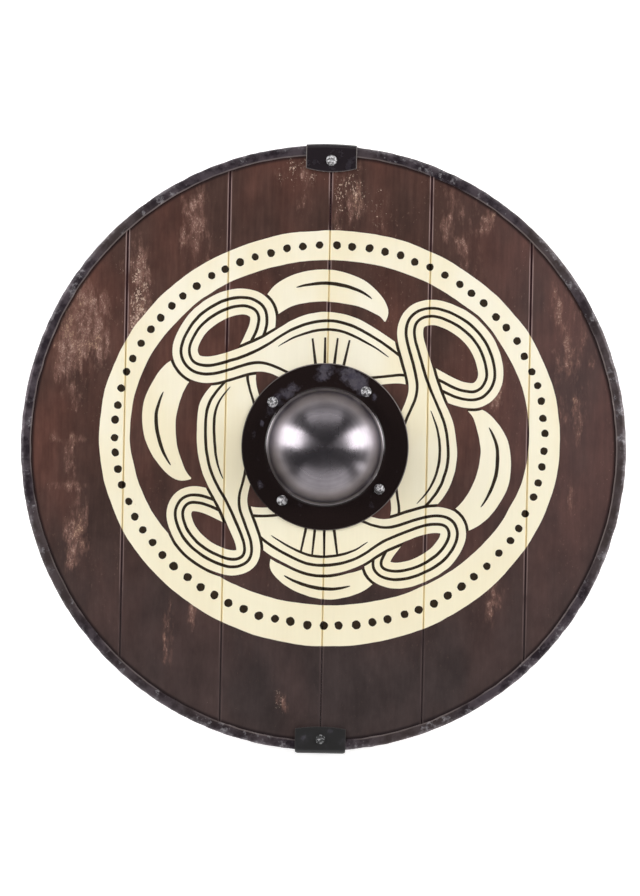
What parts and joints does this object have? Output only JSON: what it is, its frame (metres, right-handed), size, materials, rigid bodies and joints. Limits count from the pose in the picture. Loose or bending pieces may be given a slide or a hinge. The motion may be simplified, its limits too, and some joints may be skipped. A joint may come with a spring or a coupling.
{
  "type": "wooden round shield",
  "caption": "Round shield of upright painted boards in a steel rim, with folded rim clamps and a domed steel boss over the hand hole and wooden grip.",
  "frame": {"origin": "centre of the rim, on the plane that the shield lies on when it is on its back", "axes": "+Z out of the painted face along the boss, +Y towards the clamp at the top, +X to the right as the face is seen"},
  "size_m": [0.61, 0.6142, 0.0801],
  "materials": {
    "painted_boards": "matt brown paint, worn to the wood in streaks, with a cream painted design",
    "rim_steel": "blackened and burnished, lightly hammered",
    "clamp_steel": "black, semi-gloss",
    "boss_steel": "dome spun and polished, flange painted gloss black",
    "rivet_steel": "bright, hammered over by hand",
    "nail_iron": "dark, dull",
    "bare_wood": "oiled, open grain"
  },
  "bodies": {
    "root": {"board_1": "painted_boards", "board_2": "painted_boards", "board_3": "painted_boards", "board_4": "painted_boards", "board_5": "painted_boards", "board_6": "painted_boards", "rim_left": "rim_steel", "rim_right": "rim_steel", "clamp_top": "clamp_steel", "clamp_foot": "clamp_steel", "boss": "boss_steel", "boss_rivet_1": "rivet_steel", "boss_rivet_2": "rivet_steel", "boss_rivet_3": "rivet_steel", "boss_rivet_4": "rivet_steel", "clamp_rivet_top": "rivet_steel", "clamp_rivet_foot": "rivet_steel", "batten_top": "bare_wood", "batten_foot": "bare_wood", "grip": "bare_wood", "batten_top_nail_1": "nail_iron", "batten_top_nail_2": "nail_iron", "batten_top_nail_3": "nail_iron", "batten_top_nail_4": "nail_iron", "batten_top_nail_5": "nail_iron", "batten_top_nail_6": "nail_iron", "batten_foot_nail_1": "nail_iron", "batten_foot_nail_2": "nail_iron", "batten_foot_nail_3": "nail_iron", "batten_foot_nail_4": "nail_iron", "batten_foot_nail_5": "nail_iron", "batten_foot_nail_6": "nail_iron", "grip_nail_1": "nail_iron", "grip_nail_2": "nail_iron", "grip_nail_3": "nail_iron", "grip_nail_4": "nail_iron"}
  },
  "joints": []
}
